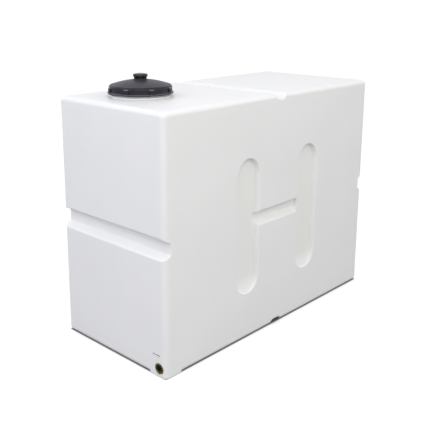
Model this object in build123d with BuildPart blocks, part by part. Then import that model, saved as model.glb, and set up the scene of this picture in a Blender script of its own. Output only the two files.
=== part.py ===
from build123d import *
import os
from math import acos, atan2, degrees, radians, sqrt, tan

# Upright fresh water tank: a hollow plastic shell with a moulded screw neck, a lid with a
# mushroom vent, and a brass outlet low in one end. Millimetres, +Z up. The origin is at
# floor level under the middle of the shell. X runs along the tank, and the outlet is at
# the low X end, beside the front (low Y) face.

# ---------------------------------------------------------------- shell
length = 1384.0
width = 626.0
height = 1050.0
wall = 7.0
corner_radius = 22.0          # upright edges
top_radius = 19.0
bottom_radius = 21.0

# Strap grooves: a pair across the ends, one over the top and one under the bottom.
end_groove_height = 530.0     # height of its middle above the floor
end_groove_opening = 84.0
end_groove_floor = 48.0
end_groove_depth = 34.0
top_groove_opening = 70.0
top_groove_floor = 40.0
top_groove_depth = 25.0
bottom_groove_opening = 82.0
bottom_groove_floor = 52.0
bottom_groove_depth = 23.0
groove_mouth_round = 9.0
groove_floor_round = 8.0
cutter_lip = 3.0              # lip outside a recess's cutter, in units of the edge's round

# Stiffening recess in each long face: two upright slots and a bar between them.
slot_spacing = 418.0
slot_width = 140.0
slot_low = 209.0              # height of the lower end
slot_from_top = 247.0         # from the upper end to the shell's top
slot_depth = 20.0
slot_draft = 14.0             # degrees that the slot's walls lean
slot_mouth_round = 3.0
scoop_rise = 69.0             # height of the curved run-out at the slot's lower end
scoop_lip = 4.0               # depth left where the run-out meets that end
bar_height = 531.0
bar_opening = 62.0
bar_floor = 38.0
bar_depth = 34.0
bar_overrun = 21.0            # how far the bar runs into each slot
bar_mouth_round = 5.0
bar_floor_round = 7.0

# Square-edged foot that takes the outlet, where the bottom edge isn't rounded.
foot_length = 84.0            # along X
foot_width = 90.0             # along Y
foot_height = 30.0
foot_round = 5.0              # of its two lower edges

# ---------------------------------------------------------------- neck and lid
lid_from_end = 231.0          # from the outlet end to the lid's axis
lid_from_back = 248.0         # from the back face to the lid's axis
neck_bore_radius = 108.0
neck_wall = 10.0
neck_height = 38.0
neck_round = 2.0
collar_height = 8.0           # moulded step round the neck's foot
collar_width = 6.0

thread_height = 3.6           # of the ridge on the neck, and of the one in the lid
thread_clearance = 0.8        # between the two crests
thread_pitch = 12.0
thread_turns = 1.5
thread_foot = 7.0             # width of a ridge where it stands on its wall
thread_crest = 3.0
thread_bury = 1.0             # how far a ridge reaches into its wall
thread_start_angle = 37.0
neck_thread_low = 14.0        # height of a ridge's lower end above the shell
lid_thread_low = 20.0
skirt_wall = 4.5
skirt_foot = 14.0             # height of the lid's lower edge above the shell
flange_width = 5.5
flange_edge = 4.0             # height of the flange's outer edge
flange_thickness = 8.5        # where its sloping top meets the skirt
shoulder_height = 50.0
shoulder_round = 12.0
dome_height = 70.0
lid_thickness = 4.0
lug_count = 8
lug_width = 20.0
lug_height = 27.0
lug_chamfer = 4.0
lug_first_angle = 22.5
spigot_gap = 2.2              # between the neck's bore and the lid's locating rib
spigot_wall = 2.8
spigot_reach = 8.0            # how far the rib hangs into the bore

gasket_thickness = 4.5
gasket_overhang = 2.0         # beyond the neck's rim
gasket_gap = 0.4              # running clearance to the neck and to the lid

# ---------------------------------------------------------------- vent
vent_boss_radius = 31.0
vent_boss_wall = 5.0
vent_stem_radius = 11.9
vent_hole_clearance = 0.6
vent_stem_reach = 20.0        # below the lid's top
vent_bore_radius = 8.0
washer_radius = 27.0
washer_thickness = 1.5
vent_base_radius = 26.5
vent_base_thickness = 2.5
vent_post_count = 12
vent_post_width = 5.0
vent_post_depth = 5.0
vent_post_height = 6.0
vent_ring_wall = 6.0
vent_ring_height = 3.0
screen_radius = 19.0
screen_thickness = 0.8
screen_hole_radius = 1.0
screen_pitch = 3.2
sleeve_gap = 0.3              # between the screen's sleeve and the cap's spigot
sleeve_slot_count = 24
sleeve_slot_width = 2.4
sleeve_rim = 0.8
cap_radius = 30.2
cap_height = 12.5             # above the vent's ring
cap_skirt_drop = 2.5
cap_crown = 2.5
cap_edge_round = 6.0
cap_foot_chamfer = 1.8
cap_fit = 0.3                 # gap between the cap and the vent's ring
cap_spigot_wall = 2.4
cap_spigot_drop = 3.0
nut_across_flats = 38.0
nut_thickness = 8.0
nut_clearance = 0.2

# ---------------------------------------------------------------- outlet and label
outlet_from_front = 38.0
outlet_height = 37.0
insert_across_flats = 42.0
insert_proud = 2.0
insert_seat = 3.0             # how far the hexagon sits into the wall
insert_shoulder = 1.5          # from the hexagon's flats in to the body
insert_length = 34.0          # behind the end face
insert_groove_depth = 2.0
insert_groove_width = 5.0
insert_groove_count = 3
insert_bore_radius = 15.15    # minor radius of a 1 inch parallel pipe thread
insert_lead_in = 1.5
insert_boss_wall = 8.0
label_length = 72.0
label_height = 25.0
label_thickness = 0.4
label_from_front = 61.0
label_centre_height = 88.0
label_round = 3.0

# ---------------------------------------------------------------- worked out from these
end_x = length / 2
face_y = width / 2
slot_high = height - slot_from_top
lid_x = -end_x + lid_from_end
lid_y = face_y - lid_from_back
lid_axis = Axis((lid_x, lid_y, height), (0, 0, 1))
lid_profile_plane = Plane(origin=(lid_x, lid_y, height), x_dir=(1, 0, 0), z_dir=(0, -1, 0))

neck_radius = neck_bore_radius + neck_wall
skirt_inner_radius = neck_radius + 2 * thread_height + thread_clearance
skirt_radius = skirt_inner_radius + skirt_wall
flange_radius = skirt_radius + flange_width
spigot_radius = neck_bore_radius - spigot_gap
gasket_low = neck_height + gasket_gap
gasket_seat = gasket_low + gasket_thickness + gasket_gap

dome_edge_radius = skirt_radius - shoulder_round
dome_rise = dome_height - shoulder_height
dome_radius = (dome_edge_radius**2 + dome_rise**2) / (2 * dome_rise)
dome_centre = dome_height - dome_radius
dome_inner_radius = dome_radius - lid_thickness
boss_underside = dome_height - vent_boss_wall
boss_inner_radius = vent_boss_radius + lid_thickness
rib_inner_radius = spigot_radius - spigot_wall
lug_root_radius = skirt_radius - skirt_wall / 2

vent_hole_radius = vent_stem_radius + vent_hole_clearance
washer_top = dome_height + washer_thickness
vent_base_top = washer_top + vent_base_thickness
vent_ring_low = vent_base_top + vent_post_height
vent_ring_top = vent_ring_low + vent_ring_height
vent_ring_inner_radius = vent_base_radius - vent_ring_wall

cap_top = vent_ring_top + cap_height
cap_edge_top = cap_top - cap_crown
cap_ceiling = cap_edge_top - cap_edge_round
cap_foot = vent_ring_top - cap_skirt_drop
cap_crown_radius = cap_radius - cap_edge_round
cap_sphere_radius = (cap_crown_radius**2 + cap_crown**2) / (2 * cap_crown)
cap_skirt_inner_radius = vent_base_radius + cap_fit
cap_spigot_radius = vent_ring_inner_radius - cap_fit
cap_spigot_inner_radius = cap_spigot_radius - cap_spigot_wall
sleeve_height = vent_ring_top - cap_spigot_drop - sleeve_gap - vent_base_top

outlet_y = -face_y + outlet_from_front
outlet_plane = Plane(origin=(-end_x - insert_proud, outlet_y, outlet_height), z_dir=(1, 0, 0))
insert_body_radius = insert_across_flats / 2 - insert_shoulder
boss_radius = insert_body_radius + insert_boss_wall

UP = Vector(0, 0, 1)
EAST = Vector(1, 0, 0)
NORTH = Vector(0, 1, 0)


def lid_level(above):
    """Plane across the lid's axis, at a height above the shell's top."""
    return Plane(origin=(lid_x, lid_y, height + above))


def dome_at(radius, sphere_radius):
    """Height of the lid's dome, or of its underside, at a distance from the axis."""
    return dome_centre + sqrt(sphere_radius**2 - radius**2)


def recess_plane(origin, across, inward):
    """Plane with its x across the recess, its y into the tank and its z along the recess."""
    return Plane(origin=origin, x_dir=across, z_dir=across.cross(inward))


def widened_by(inset, slope):
    """Extra half width that keeps the wall's thickness behind a recess with sloping sides."""
    return inset * tan(radians(45) - slope / 2)


def trough(plane, run, opening, floor, depth, mouth_round, floor_round, inset):
    """Solid that cuts a straight groove, with a lip outside it that rounds its two edges."""
    lip = cutter_lip * mouth_round
    slope = atan2((opening - floor) / 2, depth)
    extra = widened_by(inset, slope)
    half_mouth = opening / 2 + extra
    half_floor = floor / 2 + extra
    with BuildPart() as cutter:
        with BuildSketch(plane):
            with BuildLine():
                groove = FilletPolyline(
                    (-half_mouth - lip, inset),
                    (-half_mouth, inset),
                    (-half_floor, inset + depth),
                    (half_floor, inset + depth),
                    (half_mouth, inset),
                    (half_mouth + lip, inset),
                    radius=[mouth_round, floor_round, floor_round, mouth_round],
                )
                Polyline(
                    groove @ 1,
                    (half_mouth + lip, inset - lip),
                    (-half_mouth - lip, inset - lip),
                    groove @ 0,
                )
            make_face()
        extrude(amount=run / 2, both=True)
    return cutter.part


def slot_cutter(centre_x, side, inset):
    """Solid that cuts one upright slot, with a lip outside it that rounds the slot's edge."""
    inward = NORTH * -side
    extra = widened_by(inset, radians(slot_draft))
    lip = cutter_lip * slot_mouth_round
    middle = (slot_low + slot_high) / 2
    face = Plane(origin=(centre_x, side * (face_y - inset), middle), x_dir=(0, 0, 1), z_dir=inward)
    scoop_top = slot_low + scoop_rise
    scoop_fall = slot_depth - scoop_lip
    scoop_radius = (scoop_fall**2 + scoop_rise**2) / (2 * scoop_fall)
    centre_depth = slot_depth - scoop_radius
    reach = scoop_radius + inset
    swing = degrees(acos((inset - centre_depth) / reach))
    profile_plane = recess_plane((centre_x, side * face_y, 0), UP, inward)
    with BuildPart() as cutter:
        with BuildSketch(face):
            SlotOverall(slot_high - slot_low + 2 * extra, slot_width + 2 * extra)
        extrude(amount=slot_depth, taper=slot_draft)
        with BuildSketch(profile_plane):
            with BuildLine():
                scoop = CenterArc((scoop_top, centre_depth), reach, 90, swing)
                Polyline(
                    scoop @ 0,
                    (slot_high + 2 * extra, inset + slot_depth),
                    (slot_high + 2 * extra, inset),
                    scoop @ 1,
                )
            make_face()
        extrude(amount=slot_width, both=True, mode=Mode.INTERSECT)
        with BuildSketch(face):
            SlotOverall(slot_high - slot_low + 2 * (extra + lip), slot_width + 2 * (extra + lip))
        extrude(amount=-lip)
        brim = [side_face for side_face in cutter.faces() if side_face.inner_wires()][0]
        fillet(brim.inner_wires()[0].edges(), slot_mouth_round)
    return cutter.part


def recesses(inset):
    """Every cutter of the outside, or of the cavity when inset is the wall's thickness."""
    cutters = []
    for side in (-1, 1):
        end = recess_plane((side * end_x, 0, end_groove_height), UP, EAST * -side)
        cutters.append(
            trough(end, 2 * width, end_groove_opening, end_groove_floor, end_groove_depth,
                   groove_mouth_round, groove_floor_round, inset)
        )
        face = recess_plane((0, side * face_y, bar_height), UP, NORTH * -side)
        run = slot_spacing - slot_width + 2 * (bar_overrun + inset)
        cutters.append(
            trough(face, run, bar_opening, bar_floor, bar_depth,
                   bar_mouth_round, bar_floor_round, inset)
        )
        for centre_x in (-slot_spacing / 2, slot_spacing / 2):
            cutters.append(slot_cutter(centre_x, side, inset))
    over = recess_plane((0, 0, height), EAST, UP * -1)
    cutters.append(
        trough(over, 2 * width, top_groove_opening, top_groove_floor, top_groove_depth,
               groove_mouth_round, groove_floor_round, inset)
    )
    under = recess_plane((0, 0, 0), EAST, UP)
    cutters.append(
        trough(under, 2 * width, bottom_groove_opening, bottom_groove_floor,
               bottom_groove_depth, groove_mouth_round, groove_floor_round, inset)
    )
    return cutters


def tank_form(inset):
    """Outside of the tank at inset 0, and its cavity when inset is the wall's thickness."""
    with BuildPart() as form:
        with BuildSketch(Plane.XY.offset(inset)):
            RectangleRounded(length - 2 * inset, width - 2 * inset, corner_radius - inset)
        extrude(amount=height - 2 * inset)
        fillet(form.faces().sort_by(Axis.Z)[-1].edges(), top_radius - inset)
        fillet(form.faces().sort_by(Axis.Z)[0].edges(), bottom_radius - inset)
        for cutter in recesses(inset):
            add(cutter, mode=Mode.SUBTRACT)
    return form.part


def outlet_foot():
    """Square-edged corner block round the outlet, within the tank's footprint."""
    with BuildPart() as foot:
        with BuildSketch():
            RectangleRounded(length, width, corner_radius)
        extrude(amount=foot_height)
        with BuildSketch():
            with Locations((-end_x, -face_y)):
                Rectangle(2 * foot_length, 2 * foot_width)
        extrude(amount=foot_height, mode=Mode.INTERSECT)
        floor_edges = foot.faces().sort_by(Axis.Z)[0].edges()
        outer_edges = floor_edges.sort_by_distance((0, 0, 0))[2:]
        fillet(outer_edges, foot_round)
    return foot.part


def insert_blank():
    """Outside shape of the outlet insert: hexagon, grooved body, no bore."""
    groove_pitch = (insert_length - insert_seat) / insert_groove_count
    with BuildPart() as blank:
        with BuildSketch(outlet_plane):
            RegularPolygon(insert_across_flats / 2, 6, major_radius=False, rotation=30)
        extrude(amount=insert_proud + insert_seat)
        with BuildSketch(outlet_plane):
            Circle(insert_body_radius)
        extrude(amount=insert_proud + insert_length)
        for step in range(insert_groove_count):
            middle = insert_proud + insert_seat + (step + 0.5) * groove_pitch
            with BuildSketch(outlet_plane.offset(middle - insert_groove_width / 2)):
                Circle(boss_radius)
                Circle(insert_body_radius - insert_groove_depth, mode=Mode.SUBTRACT)
            extrude(amount=insert_groove_width, mode=Mode.SUBTRACT)
    return blank.part


def thread_ridge(root_radius, outward, low):
    """Right-hand screw ridge round the lid's axis, outward 1 on the neck and -1 in the lid."""
    start = EAST.rotate(Axis.Z, thread_start_angle)
    with BuildPart() as ridge:
        with BuildLine(Plane(origin=(lid_x, lid_y, height + low), x_dir=start)) as path:
            Helix(pitch=thread_pitch, height=thread_pitch * thread_turns, radius=root_radius)
        section_plane = Plane(origin=path.line @ 0, x_dir=start * outward, z_dir=path.line % 0)
        with BuildSketch(section_plane):
            with BuildLine():
                Polyline(
                    (-thread_bury, -thread_foot / 2),
                    (0, -thread_foot / 2),
                    (thread_height, -thread_crest / 2),
                    (thread_height, thread_crest / 2),
                    (0, thread_foot / 2),
                    (-thread_bury, thread_foot / 2),
                    close=True,
                )
            make_face()
        sweep(is_frenet=True)
    return ridge.part


def lug():
    """One gripping lug of the lid, standing on the flange's foot at angle 0."""
    with BuildPart() as block:
        with BuildSketch(Plane.XZ):
            with BuildLine():
                Polyline(
                    (lug_root_radius, 0),
                    (flange_radius, 0),
                    (flange_radius, lug_height - lug_chamfer),
                    (flange_radius - lug_chamfer, lug_height),
                    (lug_root_radius, lug_height),
                    close=True,
                )
            make_face()
        extrude(amount=lug_width / 2, both=True)
    return block.part


outer_form = tank_form(0)
cavity = tank_form(wall)
foot_block = outlet_foot()
insert_shape = insert_blank()
neck_ridge = thread_ridge(neck_radius, 1, neck_thread_low)
lid_ridge = thread_ridge(skirt_inner_radius, -1, lid_thread_low)
lug_block = lug()

# Shell: one hollow moulding with its neck, its foot and the boss round the outlet.
with BuildPart() as tank_shell:
    add(outer_form)
    add(foot_block)
    with BuildSketch(lid_level(0)):
        Circle(neck_radius + collar_width)
    extrude(amount=collar_height)
    collar_edges = tank_shell.edges().filter_by(GeomType.CIRCLE).group_by(Axis.Z)[-1]
    fillet(collar_edges, collar_width / 2)
    with BuildSketch(lid_level(0)):
        Circle(neck_radius)
    extrude(amount=neck_height)
    rim_edges = tank_shell.edges().filter_by(GeomType.CIRCLE).group_by(Axis.Z)[-1]
    fillet(rim_edges, neck_round)
    add(neck_ridge)
    add(cavity, mode=Mode.SUBTRACT)
    with BuildSketch(lid_level(-2 * wall)):
        Circle(neck_bore_radius)
    extrude(amount=neck_height + 2 * wall, mode=Mode.SUBTRACT)
    boss_plane = Plane(origin=(-end_x + wall / 2, outlet_y, outlet_height), z_dir=(1, 0, 0))
    with BuildSketch(boss_plane):
        Circle(boss_radius)
    extrude(amount=insert_length - wall / 2)
    add(insert_shape, mode=Mode.SUBTRACT)

# Outlet insert: brass, moulded into the wall, with a bore for a pipe thread.
with BuildPart() as outlet_insert:
    add(insert_shape)
    with BuildSketch(outlet_plane):
        Circle(insert_bore_radius)
    extrude(amount=insert_proud + insert_length, mode=Mode.SUBTRACT)
    front_edges = outlet_insert.faces().sort_by(Axis.X)[0].edges().filter_by(GeomType.CIRCLE)
    chamfer(front_edges, insert_lead_in)

# Rating label: a thin plate on the end face, above the outlet.
label_centre = (-end_x, -face_y + label_from_front, label_centre_height)
label_plane = Plane(origin=label_centre, x_dir=(0, -1, 0), z_dir=(-1, 0, 0))
with BuildPart() as rating_label:
    with BuildSketch(label_plane):
        RectangleRounded(label_length, label_height, label_round)
    extrude(amount=label_thickness)

# Gasket: a flat ring over the neck's rim, held by the lid's locating rib.
with BuildPart() as lid_gasket:
    with BuildSketch(lid_level(gasket_low)):
        Circle(neck_radius + gasket_overhang)
        Circle(spigot_radius + gasket_gap, mode=Mode.SUBTRACT)
    extrude(amount=gasket_thickness)

# Lid: a domed cap with a skirt, a flange, gripping lugs and a locating rib.
with BuildPart() as filler_lid:
    with BuildSketch(lid_profile_plane):
        with BuildLine():
            underside = Polyline(
                (vent_hole_radius, boss_underside),
                (boss_inner_radius, boss_underside),
                (boss_inner_radius, dome_at(boss_inner_radius, dome_inner_radius)),
            )
            inner_dome = RadiusArc(
                underside @ 1,
                (rib_inner_radius, dome_at(rib_inner_radius, dome_inner_radius)),
                dome_inner_radius,
            )
            skirt = Polyline(
                inner_dome @ 1,
                (rib_inner_radius, neck_height - spigot_reach),
                (spigot_radius, neck_height - spigot_reach),
                (spigot_radius, gasket_seat),
                (skirt_inner_radius, gasket_seat),
                (skirt_inner_radius, skirt_foot),
                (flange_radius, skirt_foot),
                (flange_radius, skirt_foot + flange_edge),
                (skirt_radius, skirt_foot + flange_thickness),
                (skirt_radius, shoulder_height - shoulder_round),
            )
            shoulder = RadiusArc(skirt @ 1, (dome_edge_radius, shoulder_height), -shoulder_round)
            outer_dome = RadiusArc(
                shoulder @ 1,
                (vent_boss_radius, dome_at(vent_boss_radius, dome_radius)),
                -dome_radius,
            )
            Polyline(
                outer_dome @ 1,
                (vent_boss_radius, dome_height),
                (vent_hole_radius, dome_height),
                underside @ 0,
            )
        make_face()
    revolve(axis=lid_axis)
    add(lid_ridge)
    with Locations(lid_level(skirt_foot)):
        with PolarLocations(0, lug_count, lug_first_angle):
            add(lug_block)

# Vent washer: seals the vent's base to the lid.
with BuildPart() as vent_washer:
    with BuildSketch(lid_level(dome_height)):
        Circle(washer_radius)
        Circle(vent_hole_radius, mode=Mode.SUBTRACT)
    extrude(amount=washer_thickness)

# Vent body: threaded stem, base, a ring of posts that lets the air through, and a seat ring.
with BuildPart() as vent_body:
    with BuildSketch(lid_level(dome_height - vent_stem_reach)):
        Circle(vent_stem_radius)
    extrude(amount=vent_stem_reach + washer_thickness)
    with BuildSketch(lid_level(washer_top)):
        Circle(vent_base_radius)
    extrude(amount=vent_base_thickness)
    with BuildSketch(lid_level(dome_height - vent_stem_reach)):
        Circle(vent_bore_radius)
    extrude(amount=vent_stem_reach + washer_thickness + vent_base_thickness, mode=Mode.SUBTRACT)
    with BuildSketch(lid_level(vent_base_top)):
        with PolarLocations(vent_base_radius - vent_ring_wall / 2, vent_post_count):
            Rectangle(vent_post_depth, vent_post_width)
    extrude(amount=vent_post_height)
    with BuildSketch(lid_level(vent_ring_low)):
        Circle(vent_base_radius)
        Circle(vent_ring_inner_radius, mode=Mode.SUBTRACT)
    extrude(amount=vent_ring_height)

# Vent screen: a perforated disc over the vent's bore, with a slotted sleeve inside the posts.
with BuildPart() as vent_screen:
    with BuildSketch(lid_level(vent_base_top)):
        Circle(screen_radius)
        rows = int(2 * vent_bore_radius / screen_pitch)
        with HexLocations(screen_pitch / 2, rows, rows):
            Circle(screen_hole_radius, mode=Mode.SUBTRACT)
    extrude(amount=screen_thickness)
    with BuildSketch(lid_level(vent_base_top)):
        Circle(screen_radius)
        Circle(screen_radius - screen_thickness, mode=Mode.SUBTRACT)
    extrude(amount=sleeve_height)
    with BuildSketch(lid_level(vent_base_top + screen_thickness + sleeve_rim)):
        with PolarLocations(screen_radius, sleeve_slot_count):
            Rectangle(screen_pitch, sleeve_slot_width)
    extrude(amount=sleeve_height - screen_thickness - 2 * sleeve_rim, mode=Mode.SUBTRACT)

# Vent cap: a mushroom that pushes onto the vent's ring.
with BuildPart() as vent_cap:
    with BuildSketch(lid_profile_plane):
        with BuildLine():
            crown = RadiusArc((0, cap_top), (cap_crown_radius, cap_edge_top), cap_sphere_radius)
            edge = RadiusArc(crown @ 1, (cap_radius, cap_ceiling), cap_edge_round)
            Polyline(
                edge @ 1,
                (cap_radius, cap_foot + cap_foot_chamfer),
                (cap_radius - cap_foot_chamfer, cap_foot),
                (cap_skirt_inner_radius, cap_foot),
                (cap_skirt_inner_radius, vent_ring_top),
                (cap_spigot_radius, vent_ring_top),
                (cap_spigot_radius, vent_ring_top - cap_spigot_drop),
                (cap_spigot_inner_radius, vent_ring_top - cap_spigot_drop),
                (cap_spigot_inner_radius, cap_ceiling),
                (0, cap_ceiling),
                (0, cap_top),
            )
        make_face()
    revolve(axis=lid_axis)

# Vent nut: holds the vent from under the lid.
with BuildPart() as vent_nut:
    with BuildSketch(lid_level(boss_underside - nut_thickness)):
        RegularPolygon(nut_across_flats / 2, 6, major_radius=False)
        Circle(vent_stem_radius + nut_clearance, mode=Mode.SUBTRACT)
    extrude(amount=nut_thickness)

os.makedirs("parts", exist_ok=True)
pieces = {
    "tank_shell": tank_shell,
    "outlet_insert": outlet_insert,
    "rating_label": rating_label,
    "lid_gasket": lid_gasket,
    "filler_lid": filler_lid,
    "vent_washer": vent_washer,
    "vent_body": vent_body,
    "vent_screen": vent_screen,
    "vent_cap": vent_cap,
    "vent_nut": vent_nut,
}
for name, piece in pieces.items():
    piece.part.label = name
    export_step(piece.part, f"parts/{name}.step")
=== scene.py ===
import math

import bmesh
import bpy
from mathutils import Matrix, Vector


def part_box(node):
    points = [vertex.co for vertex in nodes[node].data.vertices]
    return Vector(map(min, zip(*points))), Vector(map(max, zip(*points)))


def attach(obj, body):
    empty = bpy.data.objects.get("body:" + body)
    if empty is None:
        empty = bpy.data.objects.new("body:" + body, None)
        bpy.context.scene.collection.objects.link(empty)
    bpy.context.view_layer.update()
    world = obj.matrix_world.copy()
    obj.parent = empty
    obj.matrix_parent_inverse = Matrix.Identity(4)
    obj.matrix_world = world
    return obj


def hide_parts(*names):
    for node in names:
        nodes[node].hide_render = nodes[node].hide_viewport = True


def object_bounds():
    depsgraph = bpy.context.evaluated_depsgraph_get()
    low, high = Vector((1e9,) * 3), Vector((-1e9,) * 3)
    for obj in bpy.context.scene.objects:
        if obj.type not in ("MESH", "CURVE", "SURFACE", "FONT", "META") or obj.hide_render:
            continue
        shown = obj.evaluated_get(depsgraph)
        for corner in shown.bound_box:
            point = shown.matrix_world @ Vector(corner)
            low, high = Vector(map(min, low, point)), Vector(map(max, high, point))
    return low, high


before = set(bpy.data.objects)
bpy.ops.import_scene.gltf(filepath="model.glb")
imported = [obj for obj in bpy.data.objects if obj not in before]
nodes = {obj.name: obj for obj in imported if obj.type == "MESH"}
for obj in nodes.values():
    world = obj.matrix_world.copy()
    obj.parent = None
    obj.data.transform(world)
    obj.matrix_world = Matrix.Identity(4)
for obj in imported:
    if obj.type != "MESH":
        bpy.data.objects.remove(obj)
cad_box = [list(corner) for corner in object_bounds()]

# ---------------------------------------------------------------- sizes read from the frame, in metres
MM = 0.001
lid_low, lid_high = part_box("filler_lid")
insert_low, insert_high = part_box("outlet_insert")
label_low, label_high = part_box("rating_label")
skirt_foot = 14.0  # the lid's lower edge above the tank's top, in millimetres
lid_x = (lid_low.x + lid_high.x) / 2
lid_y = (lid_low.y + lid_high.y) / 2
shell_top = lid_low.z - skirt_foot * MM
insert_y = (insert_low.y + insert_high.y) / 2
insert_z = (insert_low.z + insert_high.z) / 2
half_length, half_width = cad_box[1][:2]


# ---------------------------------------------------------------- shader node helpers
def paint(name):
    """New material, with its node tree and its shader."""
    material = bpy.data.materials.new(name)
    material.use_nodes = True
    return material, material.node_tree, material.node_tree.nodes["Principled BSDF"]


def put(tree, kind, **settings):
    """New node; a setting is a property of the node or the value of one of its sockets."""
    node = tree.nodes.new(kind)
    for key, value in settings.items():
        if hasattr(node, key):
            setattr(node, key, value)
        else:
            node.inputs[key.replace("_", " ")].default_value = value
    return node


def sums(tree, operation, first, second=0, clamp=False):
    """Math node between two sockets or numbers; returns its output."""
    node = put(tree, "ShaderNodeMath", operation=operation, use_clamp=clamp)
    for socket, value in zip(node.inputs, (first, second)):
        if isinstance(value, (int, float)):
            socket.default_value = value
        else:
            tree.links.new(value, socket)
    return node.outputs[0]


def ramp(tree, value, low, high, to_low=0.0, to_high=1.0):
    """Straight ramp, level outside its two ends; returns its output."""
    node = put(tree, "ShaderNodeMapRange", From_Min=low, From_Max=high, To_Min=to_low, To_Max=to_high)
    tree.links.new(value, node.inputs["Value"])
    return node.outputs["Result"]


def noise(tree, place, scale, detail=2.0, rough=0.5):
    """Cloudy pattern; its scale is a number or a socket."""
    node = put(tree, "ShaderNodeTexNoise", Detail=detail, Roughness=rough)
    tree.links.new(place, node.inputs["Vector"])
    if isinstance(scale, (int, float)):
        node.inputs["Scale"].default_value = scale
    else:
        tree.links.new(scale, node.inputs["Scale"])
    return node.outputs["Fac"]


def own_place(tree):
    """Where a point lies, in its piece's own space."""
    return put(tree, "ShaderNodeTexCoord").outputs["Object"]


def centred(tree, offset):
    """Where a point lies once the piece's space is moved by an offset."""
    node = put(tree, "ShaderNodeMapping", Location=offset)
    tree.links.new(own_place(tree), node.inputs["Vector"])
    return node.outputs["Vector"]


def split(tree, vector):
    """The outputs X, Y and Z of a vector."""
    node = put(tree, "ShaderNodeSeparateXYZ")
    tree.links.new(vector, node.inputs[0])
    return node.outputs


def facing(tree):
    """The outputs X, Y and Z of the direction that a face looks in."""
    return split(tree, put(tree, "ShaderNodeNewGeometry").outputs["Normal"])


def mix_colors(tree, factor, first, second):
    """Colour between two colours or sockets; returns its output."""
    node = put(tree, "ShaderNodeMix", data_type="RGBA")
    tree.links.new(factor, node.inputs["Factor"])
    for socket, value in ((node.inputs["A"], first), (node.inputs["B"], second)):
        if isinstance(value, tuple):
            socket.default_value = (*value, 1)
        else:
            tree.links.new(value, socket)
    return node.outputs["Result"]


def grey(level):
    return (level, level, level)


def raise_surface(tree, shader, height, distance):
    bump = put(tree, "ShaderNodeBump", Distance=distance)
    tree.links.new(height, bump.inputs["Height"])
    tree.links.new(bump.outputs["Normal"], shader.inputs["Normal"])


def dull(tree, shader, sheen, mask, amount):
    """Roughness that starts from a sheen and grows where a mask is strong."""
    rough = sums(tree, "ADD", sheen, sums(tree, "MULTIPLY", mask, amount))
    tree.links.new(rough, shader.inputs["Roughness"])


def effect(name, numbers, results):
    """Node group with number inputs and one output for each result; returns its parts."""
    group = bpy.data.node_groups.new(name, "ShaderNodeTree")
    for label, value in numbers.items():
        socket = group.interface.new_socket(label, in_out="INPUT", socket_type="NodeSocketFloat")
        socket.default_value = value
    for label in results:
        group.interface.new_socket(label, in_out="OUTPUT", socket_type="NodeSocketFloat")
    return group, group.nodes.new("NodeGroupInput"), group.nodes.new("NodeGroupOutput")


def apply_effect(tree, group, **values):
    """Puts an effect in a material with its own values; returns the node."""
    node = tree.nodes.new("ShaderNodeGroup")
    node.node_tree = group
    for key, value in values.items():
        node.inputs[key.replace("_", " ")].default_value = value
    return node


# ---------------------------------------------------------------- camera, floor and light
def place_camera():
    tilt_down, heading = 13.388, 43.914
    eye = bpy.data.cameras.new("studio_camera")
    eye.sensor_width = 36
    eye.lens = 58.49
    eye.shift_x = 0.0396
    eye.shift_y = -0.12
    eye.clip_start = 0.05
    camera = bpy.data.objects.new("studio_camera", eye)
    bpy.context.scene.collection.objects.link(camera)
    camera.location = (-2.3422, -2.0585, 1.4467)
    camera.rotation_euler = (math.radians(90 - tilt_down), 0, math.radians(heading - 90))
    bpy.context.scene.camera = camera


def soft_light(name, place, aim, size, power, tint):
    lamp = bpy.data.lights.new(name, "AREA")
    lamp.shape = "RECTANGLE"
    lamp.size, lamp.size_y = size
    lamp.energy = power
    lamp.color = tint
    light = bpy.data.objects.new(name, lamp)
    bpy.context.scene.collection.objects.link(light)
    light.location = place
    light.rotation_euler = (Vector(aim) - Vector(place)).to_track_quat("-Z", "Y").to_euler()


def white_room():
    """White light all round, a little weaker from above, and a plain white backdrop behind the tank."""
    world = bpy.data.worlds.new("white_room")
    bpy.context.scene.world = world
    world.use_nodes = True
    tree = world.node_tree
    glow = tree.nodes["Background"]
    glow.inputs["Color"].default_value = (0.965, 0.965, 1, 1)
    height = split(tree, put(tree, "ShaderNodeTexCoord").outputs["Generated"])["Z"]
    tree.links.new(ramp(tree, height, 0, 1, 1.12, 0.82), glow.inputs["Strength"])
    backdrop = put(tree, "ShaderNodeBackground", Color=(1, 1, 1, 1), Strength=1.05)
    rays = put(tree, "ShaderNodeLightPath")
    choose = put(tree, "ShaderNodeMixShader")
    sources = rays.outputs["Is Camera Ray"], glow.outputs[0], backdrop.outputs[0]
    for source, socket in zip(sources, choose.inputs):
        tree.links.new(source, socket)
    tree.links.new(choose.outputs[0], tree.nodes["World Output"].inputs["Surface"])
    bpy.context.scene.view_settings.view_transform = "Standard"
    soft_light("corner_softbox", (-2.4, -2.4, 2.8), (0, 0, 0.7), (2, 2), 36, (1, 0.985, 0.9))
    soft_light("end_softbox", (-2.4, 0.3, 2.0), (-0.6, 0, 0.9), (1.6, 1.2), 9, (0.75, 0.78, 1))
    soft_light("front_softbox", (0.4, -2.2, 2.2), (0.2, 0, 0.8), (2.6, 1.2), 5, (1, 1, 0.8))


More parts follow.
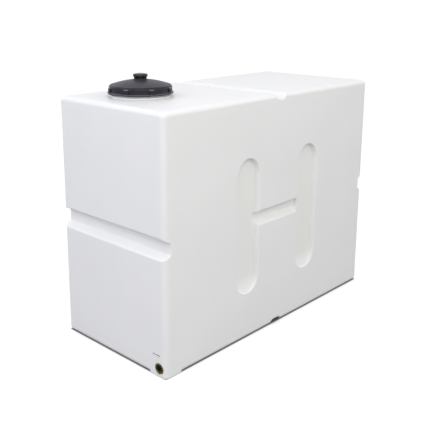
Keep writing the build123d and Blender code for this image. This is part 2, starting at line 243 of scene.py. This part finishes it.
def lay_floor():
    """White floor that looks plain to the camera, with a painted contact shadow: darker in the gap below the
    tank's edge.
    """
    gap_outside, gap_inside = 0.001, 0.008
    bpy.ops.object.select_all(action="DESELECT")
    bpy.ops.mesh.primitive_plane_add(size=60, location=(0, 0, -0.0002))
    floor = bpy.context.object
    floor.name = "studio_floor"
    material, tree, shader = paint("white_floor")
    seen = put(tree, "ShaderNodeLightPath").outputs["Is Camera Ray"]
    place = split(tree, own_place(tree))
    inside = [
        ramp(tree, sums(tree, "ABSOLUTE", place[side]), reach + gap_outside, reach - gap_inside)
        for side, reach in (("X", half_length), ("Y", half_width))
    ]
    # painted contact shadow: mask of the tank's footprint, where the floor is painted dark grey without its
    # glow
    painted_contact_shadow = sums(tree, "MULTIPLY", *inside)
    shade = mix_colors(tree, seen, grey(0.37), grey(0.93))
    glow = mix_colors(tree, seen, grey(0.0), grey(0.2))
    tree.links.new(mix_colors(tree, painted_contact_shadow, shade, grey(0.2)), shader.inputs["Base Color"])
    tree.links.new(mix_colors(tree, painted_contact_shadow, glow, grey(0.0)), shader.inputs["Emission Color"])
    shader.inputs["Emission Strength"].default_value = 1
    shader.inputs["Roughness"].default_value = 1
    shader.inputs["Specular IOR Level"].default_value = 0
    floor.data.materials.append(material)


place_camera()
white_room()
lay_floor()


# ---------------------------------------------------------------- surface effects
def moulded_skin():
    """Plastic as it leaves a mould: faint clouds in it, slow waves and a fine grain on it."""
    group, given, out = effect(
        "moulded_skin",
        {"Cloud Scale": 4.0, "Wave Scale": 9.0, "Wave Height": 0.3,
         "Grain Scale": 700.0, "Grain Height": 0.1},
        ["Cloud", "Height"],
    )
    value = given.outputs
    place = own_place(group)
    cloud = ramp(group, noise(group, place, value["Cloud Scale"], 4.0, 0.6), 0.3, 0.7)
    wave = sums(group, "MULTIPLY", noise(group, place, value["Wave Scale"], 1.0), value["Wave Height"])
    grain = sums(group, "MULTIPLY", noise(group, place, value["Grain Scale"], 2.0), value["Grain Height"])
    group.links.new(cloud, out.inputs["Cloud"])
    group.links.new(sums(group, "ADD", wave, grain), out.inputs["Height"])
    return group


def handling_marks():
    """Short rubbed streaks, sparse and thin, where hands and straps have touched."""
    group, given, out = effect("handling_marks", {"Streak Scale": 30.0, "Amount": 0.5}, ["Marks"])
    place = own_place(group)
    drawn_out = put(group, "ShaderNodeMapping", Rotation=(0.5, 0.35, 0.2), Scale=(1, 1, 7))
    group.links.new(place, drawn_out.inputs["Vector"])
    lines = noise(group, drawn_out.outputs["Vector"], given.outputs["Streak Scale"], 5.0, 0.7)
    streaks = ramp(group, lines, 0.6, 0.75)
    patches = ramp(group, noise(group, place, 11.0), 0.45, 0.65)
    marks = sums(group, "MULTIPLY", streaks, patches)
    group.links.new(sums(group, "MULTIPLY", marks, given.outputs["Amount"], clamp=True), out.inputs["Marks"])
    return group


def settled_dust():
    """Thin dust on faces that look up."""
    group, given, out = effect("settled_dust", {"Amount": 0.5, "Patch Scale": 25.0}, ["Dust"])
    upward = ramp(group, facing(group)["Z"], 0.55, 1.0)
    patches = ramp(group, noise(group, own_place(group), given.outputs["Patch Scale"], 5.0, 0.65), 0.3, 0.8)
    dust = sums(group, "MULTIPLY", upward, patches)
    group.links.new(sums(group, "MULTIPLY", dust, given.outputs["Amount"], clamp=True), out.inputs["Dust"])
    return group


skin_group = moulded_skin()
marks_group = handling_marks()
dust_group = settled_dust()


# ---------------------------------------------------------------- finishes
def recess_depth(tree):
    """Mask of the recessed floors in the two long faces, where the plastic looks greener."""
    edge, floor = half_width - 0.004, half_width - 0.016
    sideways = ramp(tree, sums(tree, "ABSOLUTE", facing(tree)["Y"]), 0.6, 0.9)
    sunk = ramp(tree, sums(tree, "ABSOLUTE", split(tree, own_place(tree))["Y"]), edge, floor)
    return sums(tree, "MULTIPLY", sideways, sunk)


def natural_polyethylene():
    """Undyed tank plastic: milky white with faint clouds, satin, slightly wavy."""
    material, tree, shader = paint("natural_polyethylene")
    skin = apply_effect(tree, skin_group, Cloud_Scale=3.5, Wave_Scale=7.0, Wave_Height=1.0,
                        Grain_Scale=900.0, Grain_Height=0.03).outputs
    marks = apply_effect(tree, marks_group, Streak_Scale=16.0, Amount=0.35).outputs["Marks"]
    milky = mix_colors(tree, skin["Cloud"], (0.845, 0.848, 0.838), (0.865, 0.867, 0.861))
    rubbed = mix_colors(tree, marks, milky, (0.815, 0.817, 0.81))
    tinted = mix_colors(tree, recess_depth(tree), rubbed, (0.85, 0.862, 0.825))
    tree.links.new(tinted, shader.inputs["Base Color"])
    dull(tree, shader, ramp(tree, skin["Cloud"], 0.0, 1.0, 0.4, 0.48), marks, 0.2)
    shader.inputs["Subsurface Weight"].default_value = 0.2
    shader.inputs["Subsurface Radius"].default_value = (1, 1, 0.9)
    shader.inputs["Subsurface Scale"].default_value = 0.02
    shader.inputs["IOR"].default_value = 1.5
    raise_surface(tree, shader, skin["Height"], 0.0012)
    return material


def painted_grip_highlight(tree):
    """Mask of the painted highlight: the lugs' tops and the flange's upper edge made pale, in patches."""
    blur = 0.001
    # heights, reaches and strengths of the painted highlight on the lugs and on the flange
    lug_line, lug_reach, lug_highlight = 0.0385, 0.131, 0.5
    flange_line, flange_end, flange_reach, flange_highlight = 0.0172, 0.0205, 0.1312, 0.22
    place = centred(tree, (-lid_x, -lid_y, -shell_top))
    parts = split(tree, place)
    across = put(tree, "ShaderNodeCombineXYZ")
    for side in "XY":
        tree.links.new(parts[side], across.inputs[side])
    distance = put(tree, "ShaderNodeVectorMath", operation="LENGTH")
    tree.links.new(across.outputs[0], distance.inputs[0])

    def above_and_outside(line, reach, highlight_level):
        above = ramp(tree, parts["Z"], line, line + blur, 0.0, highlight_level)
        outside = ramp(tree, distance.outputs["Value"], reach, reach + 0.0006)
        return sums(tree, "MULTIPLY", above, outside)

    lugs = above_and_outside(lug_line, lug_reach, lug_highlight)
    below = ramp(tree, parts["Z"], flange_end + blur, flange_end)
    flange = sums(tree, "MULTIPLY", above_and_outside(flange_line, flange_reach, flange_highlight), below)
    patches = ramp(tree, noise(tree, place, 60.0, 3.0), 0.3, 0.6, 0.5, 1.0)
    return sums(tree, "MULTIPLY", sums(tree, "MAXIMUM", lugs, flange), patches)


def lid_polypropylene():
    """Black lid plastic: blue-black, finely grained, dusty on top, rubbed a little, with a painted highlight
    on the lugs' tops and the flange's upper edge.
    """
    material, tree, shader = paint("lid_polypropylene")
    skin = apply_effect(tree, skin_group, Cloud_Scale=14.0, Wave_Scale=30.0, Wave_Height=0.15,
                        Grain_Scale=1500.0, Grain_Height=0.2).outputs
    marks = apply_effect(tree, marks_group, Streak_Scale=60.0, Amount=0.6).outputs["Marks"]
    dust = apply_effect(tree, dust_group, Amount=0.16, Patch_Scale=30.0).outputs["Dust"]
    black = mix_colors(tree, skin["Cloud"], (0.008, 0.008, 0.015), (0.013, 0.013, 0.022))
    rubbed = mix_colors(tree, marks, black, (0.04, 0.04, 0.05))
    # painted highlight: pale grey on the lugs' tops and the flange's upper edge
    highlighted = mix_colors(tree, painted_grip_highlight(tree), rubbed, (0.42, 0.42, 0.45))
    tree.links.new(mix_colors(tree, dust, highlighted, (0.35, 0.34, 0.33)), shader.inputs["Base Color"])
    dull(tree, shader, ramp(tree, skin["Cloud"], 0.0, 1.0, 0.33, 0.43), dust, 0.9)
    shader.inputs["IOR"].default_value = 1.49
    shader.inputs["Specular IOR Level"].default_value = 0.3
    raise_surface(tree, shader, skin["Height"], 0.0004)
    return material


def vent_nylon():
    """Black vent plastic: jet black and glossy, with a faint ripple."""
    material, tree, shader = paint("vent_nylon")
    skin = apply_effect(tree, skin_group, Cloud_Scale=40.0, Wave_Scale=90.0, Wave_Height=0.25,
                        Grain_Scale=2600.0, Grain_Height=0.03).outputs
    marks = apply_effect(tree, marks_group, Streak_Scale=140.0, Amount=0.5).outputs["Marks"]
    dust = apply_effect(tree, dust_group, Amount=0.06, Patch_Scale=90.0).outputs["Dust"]
    black = mix_colors(tree, skin["Cloud"], (0.008, 0.008, 0.009), (0.013, 0.013, 0.014))
    tree.links.new(mix_colors(tree, dust, black, (0.3, 0.3, 0.29)), shader.inputs["Base Color"])
    dull(tree, shader, ramp(tree, skin["Cloud"], 0.0, 1.0, 0.12, 0.2), marks, 0.3)
    raise_surface(tree, shader, skin["Height"], 0.0003)
    return material


def gasket_rubber():
    """Dull black rubber with a dusty bloom."""
    material, tree, shader = paint("gasket_rubber")
    skin = apply_effect(tree, skin_group, Cloud_Scale=50.0, Wave_Scale=60.0, Wave_Height=0.3,
                        Grain_Scale=2200.0, Grain_Height=0.3).outputs
    bloom = mix_colors(tree, skin["Cloud"], (0.018, 0.018, 0.018), (0.045, 0.044, 0.042))
    tree.links.new(bloom, shader.inputs["Base Color"])
    tree.links.new(ramp(tree, skin["Cloud"], 0.0, 1.0, 0.62, 0.8), shader.inputs["Roughness"])
    raise_surface(tree, shader, skin["Height"], 0.0002)
    return material


def turned_brass():
    """Machined brass: fine tool lines round the axis, browned in patches."""
    material, tree, shader = paint("turned_brass")
    marks = apply_effect(tree, marks_group, Streak_Scale=220.0, Amount=0.8).outputs["Marks"]
    tarnish = ramp(tree, noise(tree, own_place(tree), 130.0, 4.0, 0.65), 0.4, 0.7)
    bright = mix_colors(tree, marks, (0.3, 0.235, 0.12), (0.6, 0.52, 0.36))
    tree.links.new(mix_colors(tree, tarnish, bright, (0.1, 0.078, 0.038)), shader.inputs["Base Color"])
    tree.links.new(ramp(tree, tarnish, 0.0, 1.0, 0.22, 0.42), shader.inputs["Roughness"])
    shader.inputs["Metallic"].default_value = 1
    lines = put(tree, "ShaderNodeTexWave", wave_type="RINGS", rings_direction="X",
                Scale=900.0, Distortion=0.5)
    tree.links.new(centred(tree, (0, -insert_y, -insert_z)), lines.inputs["Vector"])
    raise_surface(tree, shader, lines.outputs["Fac"], 0.00003)
    return material


def printed_label():
    """White film label with plain printed bars, one dark row and one pale row."""
    material, tree, shader = paint("printed_label")
    place = split(tree, own_place(tree))
    along = ramp(tree, place["Y"], label_high.y, label_low.y)
    up = ramp(tree, place["Z"], label_low.z, label_high.z)

    def band(value, middle, half):
        away = sums(tree, "ABSOLUTE", sums(tree, "SUBTRACT", value, middle))
        return sums(tree, "LESS_THAN", away, half)

    def words(start, count):
        cells = put(tree, "ShaderNodeTexNoise", noise_dimensions="1D", Scale=1.0, Detail=0.0)
        tree.links.new(sums(tree, "ADD", sums(tree, "MULTIPLY", along, count), start), cells.inputs["W"])
        return sums(tree, "GREATER_THAN", cells.outputs["Fac"], 0.3)

    def printed_row(height, half, middle, reach, start, depth):
        bar = sums(tree, "MULTIPLY", band(up, height, half), band(along, middle, reach))
        return sums(tree, "MULTIPLY", sums(tree, "MULTIPLY", bar, words(start, 11.0)), depth)

    dark_row = printed_row(0.66, 0.07, 0.6, 0.3, 0.0, 1.0)
    pale_row = printed_row(0.32, 0.04, 0.62, 0.27, 7.3, 0.4)
    ink = sums(tree, "MAXIMUM", dark_row, pale_row)
    tree.links.new(mix_colors(tree, ink, (0.86, 0.86, 0.87), (0.05, 0.05, 0.06)), shader.inputs["Base Color"])
    tree.links.new(ramp(tree, ink, 0.0, 1.0, 0.28, 0.5), shader.inputs["Roughness"])
    return material


def moulded_mesh():
    """Black insect screen: dull plastic with a woven ripple."""
    material, tree, shader = paint("moulded_mesh")
    marks = apply_effect(tree, marks_group, Streak_Scale=260.0, Amount=0.7).outputs["Marks"]
    black = mix_colors(tree, marks, (0.012, 0.012, 0.013), (0.04, 0.04, 0.042))
    tree.links.new(black, shader.inputs["Base Color"])
    tree.links.new(ramp(tree, marks, 0.0, 1.0, 0.5, 0.65), shader.inputs["Roughness"])
    weave = put(tree, "ShaderNodeTexWave", Scale=1400.0)
    tree.links.new(own_place(tree), weave.inputs["Vector"])
    raise_surface(tree, shader, weave.outputs["Fac"], 0.00005)
    return material


tank_plastic = natural_polyethylene()
lid_plastic = lid_polypropylene()
vent_plastic = vent_nylon()
rubber = gasket_rubber()
brass = turned_brass()
label_film = printed_label()
screen_mesh = moulded_mesh()

for node_name, finish in (
    ("tank_shell", tank_plastic),
    ("lid_gasket", rubber),
    ("vent_washer", rubber),
    ("vent_body", vent_plastic),
    ("vent_nut", vent_plastic),
    ("vent_cap", vent_plastic),
    ("vent_screen", screen_mesh),
    ("rating_label", label_film),
    ("outlet_insert", brass),
    ("filler_lid", lid_plastic),
):
    for node_slot in nodes[node_name].material_slots:
        node_slot.material = finish


# ---------------------------------------------------------------- modelling helpers
def edit(piece):
    """Puts one piece alone in edit mode, with all of it selected."""
    bpy.ops.object.select_all(action="DESELECT")
    piece.select_set(True)
    bpy.context.view_layer.objects.active = piece
    bpy.ops.object.mode_set(mode="EDIT")
    bpy.ops.mesh.select_all(action="SELECT")


def draw_line(name, points):
    """Line through points, drawn vertex by vertex; left in edit mode and selected."""
    bpy.ops.object.select_all(action="DESELECT")
    bpy.ops.mesh.primitive_plane_add(size=MM, location=points[0])
    piece = bpy.context.object
    piece.name = piece.data.name = name
    bpy.ops.object.transform_apply(location=True, rotation=True, scale=True)
    bpy.context.tool_settings.mesh_select_mode = (True, False, False)
    edit(piece)
    bpy.ops.mesh.merge(type="CENTER")
    for here, there in zip(points, points[1:]):
        bpy.ops.mesh.extrude_vertices_move(TRANSFORM_OT_translate={"value": Vector(there) - Vector(here)})
    bpy.ops.mesh.select_all(action="SELECT")
    return piece


def weld(piece):
    """Merges doubles, closes what is open, turns the faces outwards and leaves edit mode."""
    if piece.mode != "EDIT":
        edit(piece)
    bpy.ops.mesh.select_all(action="SELECT")
    bpy.ops.mesh.remove_doubles(threshold=0.02 * MM)
    bpy.ops.mesh.fill_holes(sides=0)
    bpy.ops.mesh.select_all(action="SELECT")
    bpy.ops.mesh.normals_make_consistent(inside=False)
    bpy.ops.object.mode_set(mode="OBJECT")
    return piece


def turn(name, points, centre, axis, steps):
    """Solid turned from an outline, once round an axis."""
    piece = draw_line(name, points)
    bpy.ops.mesh.spin(steps=steps, angle=2 * math.pi, center=centre, axis=axis)
    return weld(piece)


def wind(name, points, centre, axis, angle, rise, steps):
    """Solid swept from an outline along a screw thread about an axis."""
    piece = draw_line(name, points)
    bpy.ops.object.mode_set(mode="OBJECT")
    pivot = bpy.data.objects.new(name + "_pivot", None)
    bpy.context.scene.collection.objects.link(pivot)
    pivot.location = centre
    screw = piece.modifiers.new("thread", "SCREW")
    screw.object = pivot
    screw.axis = axis
    screw.angle = angle
    screw.screw_offset = rise
    screw.steps = screw.render_steps = steps
    bpy.context.view_layer.update()
    bpy.ops.object.modifier_apply(modifier=screw.name)
    bpy.data.objects.remove(pivot)
    return weld(piece)


def carve(piece, tool, operation):
    """Cuts, joins or intersects a piece with a tool, which is used up."""
    bpy.ops.object.select_all(action="DESELECT")
    piece.select_set(True)
    bpy.context.view_layer.objects.active = piece
    step = piece.modifiers.new("carve", "BOOLEAN")
    step.operation = operation
    step.object = tool
    bpy.ops.object.modifier_apply(modifier=step.name)
    bpy.data.objects.remove(tool)


def soften(corners, steps=4):
    """Outline with its corners rounded; each corner is (across, along, round)."""
    outline = []
    count = len(corners)
    for index, (across, along, bend) in enumerate(corners):
        here = Vector((across, along))
        if not bend:
            outline.append(here)
            continue
        before = (Vector(corners[index - 1][:2]) - here).normalized()
        after = (Vector(corners[(index + 1) % count][:2]) - here).normalized()
        half = before.angle(after) / 2
        reach = bend / math.tan(half)
        middle = here + (before + after).normalized() * bend / math.sin(half)
        first, last = here + before * reach - middle, here + after * reach - middle
        swing = first.angle_signed(last)
        for step in range(steps + 1):
            share = swing * step / steps
            outline.append(middle + Vector((
                first.x * math.cos(share) + first.y * math.sin(share),
                first.y * math.cos(share) - first.x * math.sin(share),
            )))
    return outline


def arc(radius, centre, start, end, steps):
    """Points of a dome's outline between two distances from its axis, ends included."""
    spots = [start + (end - start) * step / steps for step in range(steps + 1)]
    return [(spot, centre + math.sqrt(radius**2 - spot**2), 0) for spot in spots]


def hand_over(piece, material, body, node, crease=30):
    """Shades, paints and hands over a piece that stands for a CAD node."""
    bpy.ops.object.select_all(action="DESELECT")
    piece.select_set(True)
    bpy.context.view_layer.objects.active = piece
    bpy.ops.object.shade_smooth_by_angle(angle=math.radians(crease))
    piece.data.materials.clear()
    piece.data.materials.append(material)
    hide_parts(node)
    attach(piece, body)


# ---------------------------------------------------------------- screw lid, in millimetres
dome_radius = 361.06
dome_centre = 70.0 - dome_radius
dome_wall = 4.0
vent_bore = 12.5
drum_radius = 130.5
shoulder_height = 50.0
shoulder_round = 12.0
flange_radius = 136.0
skirt_bore = 126.0
seal_face = 43.3
ring_outside, ring_inside, ring_foot = 105.8, 103.0, 30.0
lug_count, lug_first_angle = 8, 22.5
lug_root, lug_width, lug_top = 128.0, 20.0, 41.0
lug_slope, lug_softness = 4.0, 0.7
ridge_crest, ridge_pitch, ridge_turns = 122.4, 12.0, 1.5
ridge_start, ridge_first_angle = 20.0, 37.0


def lid_outline():
    """Half section of the lid: distance from its axis, height above the tank."""
    shoulder_middle = drum_radius - shoulder_round
    shoulder = []
    for step in range(1, 11):
        lean = math.radians(9 * step)
        shoulder.append((
            shoulder_middle + shoulder_round * math.sin(lean),
            shoulder_height - shoulder_round + shoulder_round * math.cos(lean),
            0,
        ))
    return soften(
        [(vent_bore, 70, 0.5), (31, 70, 0.7), (31, 68.67, 0.3)]
        + arc(dome_radius, dome_centre, 33, shoulder_middle, 18)
        + shoulder
        + [(drum_radius, 22.5, 1.5), (flange_radius, 18, 0.9), (flange_radius, skirt_foot, 0.9)]
        + [(skirt_bore, skirt_foot, 0.9), (skirt_bore, seal_face, 1.2), (ring_outside, seal_face, 0.8)]
        + [(ring_outside, ring_foot, 0.7), (ring_inside, ring_foot, 0.7), (ring_inside, 50.82, 1.5)]
        + arc(dome_radius - dome_wall, dome_centre, 100, 37, 10)
        + [(35, 64.28, 0.3), (35, 65, 0.3), (vent_bore, 65, 0.5)]
    )


def lid_spot(across, up, angle=0.0):
    """Place in the lid's half section, turned about the lid's axis by an angle."""
    return (
        lid_x + across * MM * math.cos(angle),
        lid_y + across * MM * math.sin(angle),
        shell_top + up * MM,
    )


def bevel_edges(piece, wanted, size, segments):
    """Bevels the edges that are wanted of a piece that is in edit mode."""
    bpy.context.tool_settings.mesh_select_mode = (False, True, False)
    bpy.ops.mesh.select_all(action="DESELECT")
    mesh = bmesh.from_edit_mesh(piece.data)
    for edge in mesh.edges:
        edge.select_set(wanted(*[corner.co for corner in edge.verts]))
    bmesh.update_edit_mesh(piece.data)
    bpy.ops.mesh.bevel(offset=size * MM, offset_type="OFFSET", segments=segments, affect="EDGES")


def lug():
    """Gripping lug of the lid at angle 0: sloped on top, with soft edges."""
    middle = lid_spot((lug_root + flange_radius) / 2, (skirt_foot + lug_top) / 2)
    across, high = flange_radius - lug_root, lug_top - skirt_foot
    bpy.ops.object.select_all(action="DESELECT")
    bpy.ops.mesh.primitive_cube_add(size=1, location=middle, scale=(across * MM, lug_width * MM, high * MM))
    block = bpy.context.object
    block.name = block.data.name = "lid_lug"
    bpy.ops.object.transform_apply(location=True, rotation=True, scale=True)
    near_outside, _, near_top = lid_spot(flange_radius - 0.1, lug_top - 0.1)
    past_root = lid_spot(lug_root + 1, 0)[0]
    edit(block)
    bevel_edges(
        block,
        lambda one, other: min(one.x, other.x) > near_outside and min(one.z, other.z) > near_top,
        lug_slope,
        1,
    )
    bevel_edges(block, lambda one, other: max(one.x, other.x) > past_root, lug_softness, 2)
    return weld(block)


def screw_lid():
    """Domed lid with its gripping lugs round the flange and a screw ridge inside its skirt."""
    centre = lid_spot(0, 0)
    spots = [lid_spot(*point) for point in lid_outline()]
    lid = turn("screw_lid", spots + spots[:1], centre, (0, 0, 1), 240)
    block = lug()
    shift = Matrix.Translation(centre)
    for step in range(lug_count):
        angle = math.radians(lug_first_angle + 360 / lug_count * step)
        copy = block.copy()
        copy.data = block.data.copy()
        bpy.context.scene.collection.objects.link(copy)
        copy.data.transform(shift @ Matrix.Rotation(angle, 4, "Z") @ shift.inverted())
        carve(lid, copy, "UNION")
    bpy.data.objects.remove(block)
    buried = skirt_bore + 1
    section = ((buried, -3.5), (skirt_bore, -3.5), (ridge_crest, -1.5), (ridge_crest, 1.5),
               (skirt_bore, 3.5), (buried, 3.5), (buried, -3.5))
    ridge = [lid_spot(across, ridge_start + up, math.radians(ridge_first_angle)) for across, up in section]
    sweep, rise = math.radians(360 * ridge_turns), ridge_pitch * ridge_turns * MM
    carve(lid, wind("lid_thread", ridge, centre, "Z", sweep, rise, 180), "UNION")
    hand_over(lid, lid_plastic, "lid", "filler_lid")


# ---------------------------------------------------------------- brass outlet insert, in millimetres
hexagon_flats, hexagon_thickness = 42.0, 5.0
shank_radius, shank_length = 19.5, 31.0
groove_count, groove_width, groove_depth = 3, 5.0, 2.0
thread_inside, thread_outside, thread_pitch = 15.15, 16.62, 2.309


def insert_spot(depth, across):
    """Place in the insert's half section: depth behind its face, distance from its axis."""
    return (insert_low.x + depth * MM, insert_y, insert_z + across * MM)


def round_stock(name, corners, steps=96):
    """Solid turned about the insert's axis from corners of (depth, across, round)."""
    spots = [insert_spot(*point) for point in soften(corners)]
    return turn(name, spots, insert_spot(0, 0), (1, 0, 0), steps)


def hexagon():
    """Spanner hexagon with its outer corners chamfered."""
    tip = hexagon_flats / 2 / math.cos(math.radians(30))
    blank = [(0, 0, 0), (0, tip, 0), (hexagon_thickness, tip, 0), (hexagon_thickness, 0, 0)]
    facing_cut = [(0, 0, 0), (0, 20.6, 0.3), (2, 24.3, 0), (6, 24.3, 0), (6, 0, 0)]
    head = round_stock("brass_insert", blank, 6)
    carve(head, round_stock("hexagon_facing", facing_cut), "INTERSECT")
    return head


def grooved_shank():
    """Round shank with the grooves that hold it in the plastic."""
    end = hexagon_thickness + shank_length
    floor = shank_radius - groove_depth
    outline = [(3, 0, 0), (3, shank_radius, 0)]
    for index in range(groove_count):
        middle = hexagon_thickness + shank_length * (2 * index + 1) / (2 * groove_count)
        start, stop = middle - groove_width / 2, middle + groove_width / 2
        outline += [(start, shank_radius, 0.4), (start, floor, 0.4)]
        outline += [(stop, floor, 0.4), (stop, shank_radius, 0.4)]
    return round_stock("insert_shank", outline + [(end, shank_radius, 0.5), (end, 0, 0)])


def pipe_tap():
    """Tool that cuts the pipe thread: one turn of the section of the whole thread."""
    first, turns = -4.0, 19
    section = [(first, 0), (first, thread_inside)]
    for index in range(turns):
        start = first + index * thread_pitch
        section += [
            (start + 0.2 * thread_pitch, thread_inside),
            (start + 0.5 * thread_pitch, thread_outside),
            (start + 0.7 * thread_pitch, thread_outside),
            (start + thread_pitch, thread_inside),
        ]
    spots = [insert_spot(*point) for point in section + [(section[-1][0], 0)]]
    return wind("pipe_tap", spots, insert_spot(0, 0), "X", math.radians(360), thread_pitch * MM, 96)


def brass_insert():
    """Hexagon on a grooved shank, bored and threaded from end to end."""
    insert = hexagon()
    carve(insert, grooved_shank(), "UNION")
    lead_in = round_stock("lead_in", [(-1, 0, 0), (-1, 18.1, 0), (1.6, 15.5, 0), (1.6, 0, 0)])
    carve(insert, lead_in, "DIFFERENCE")
    carve(insert, pipe_tap(), "DIFFERENCE")
    hand_over(insert, brass, "tank", "outlet_insert", 25)


screw_lid()
brass_insert()
